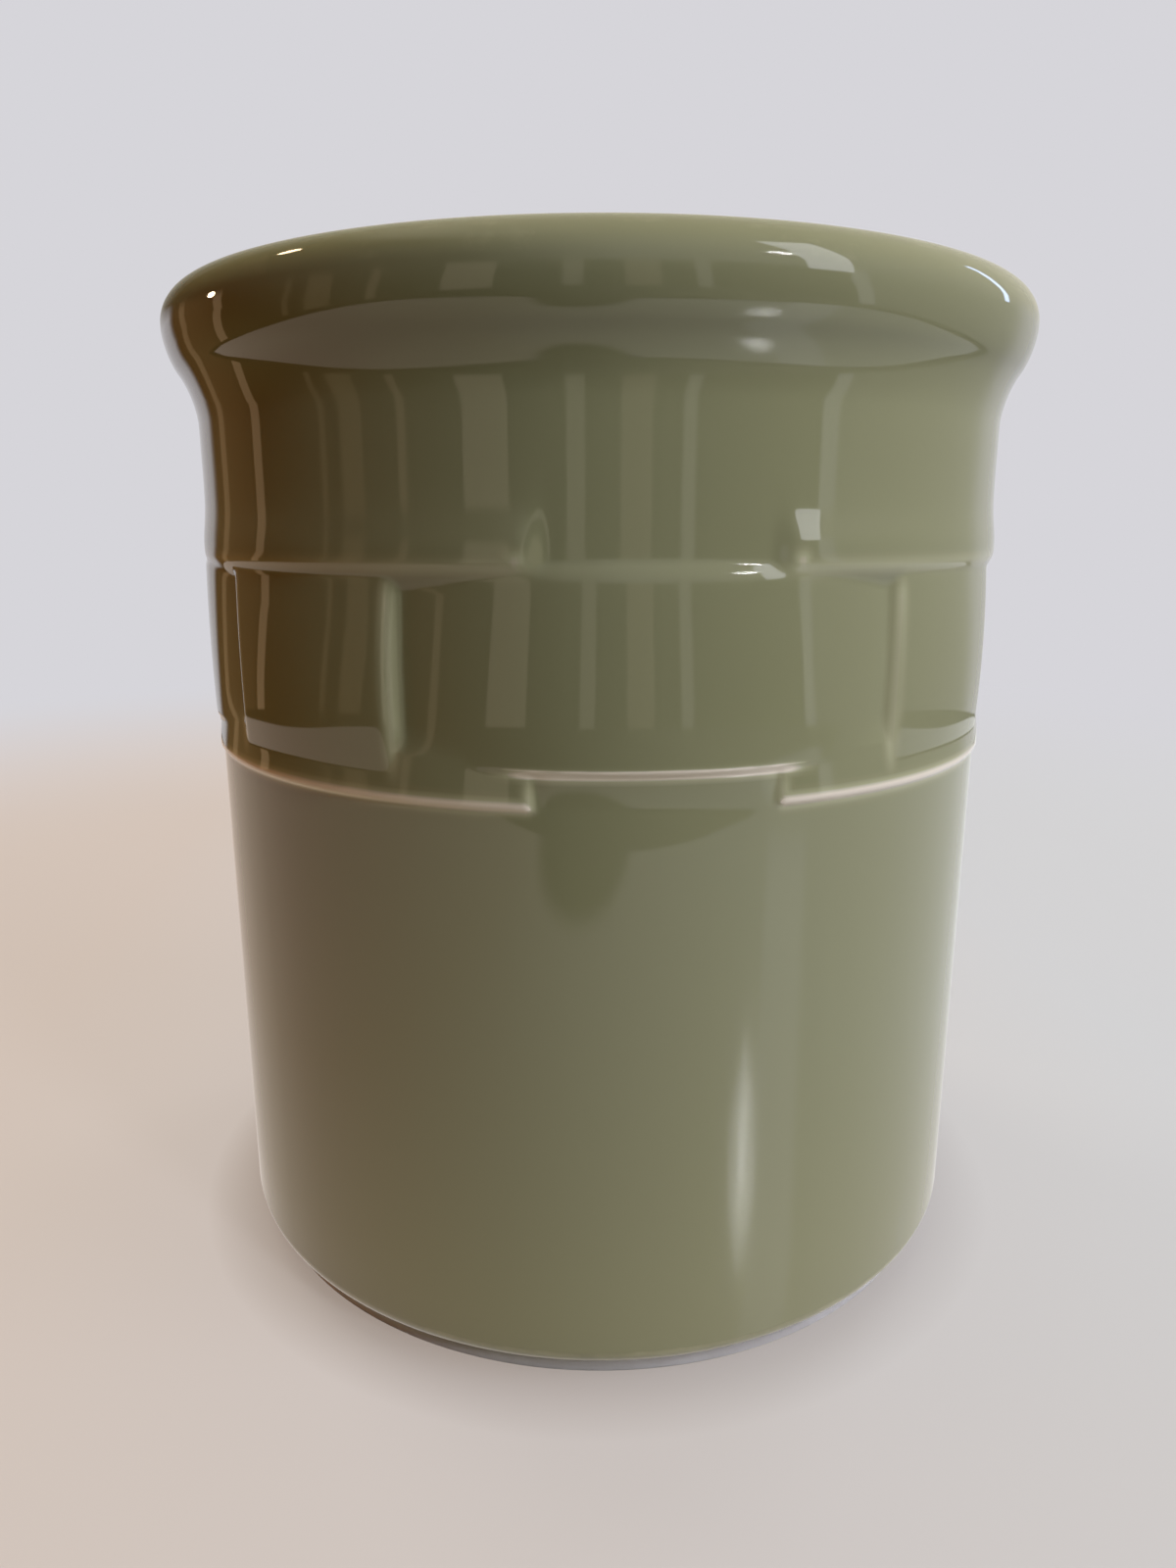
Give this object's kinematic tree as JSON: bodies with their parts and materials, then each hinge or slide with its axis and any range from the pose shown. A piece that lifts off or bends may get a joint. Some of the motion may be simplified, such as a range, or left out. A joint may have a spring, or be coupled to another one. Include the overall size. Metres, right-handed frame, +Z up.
{
  "type": "utensil crock",
  "caption": "Open glazed stoneware crock with a rolled rim and a band of basket-weave relief, for standing kitchen utensils in.",
  "frame": {"origin": "centre of the foot ring, on the surface that the crock stands on", "axes": "+Z up along the axis of the crock, -Y through the middle of an upright that the middle row of the weave passes over"},
  "size_m": [0.156, 0.156, 0.1743],
  "materials": {
    "bare_clay": "unglazed white stoneware, dry and matt",
    "sage_glaze": "glossy sage green glaze that breaks pale on raised edges",
    "liner_glaze": "glossy sage green glaze",
    "base_glaze": "glossy sage green glaze"
  },
  "bodies": {
    "root": {"clay_body": "bare_clay", "outer_glaze": "sage_glaze", "liner_glaze": "liner_glaze", "base_glaze": "base_glaze"}
  },
  "joints": []
}
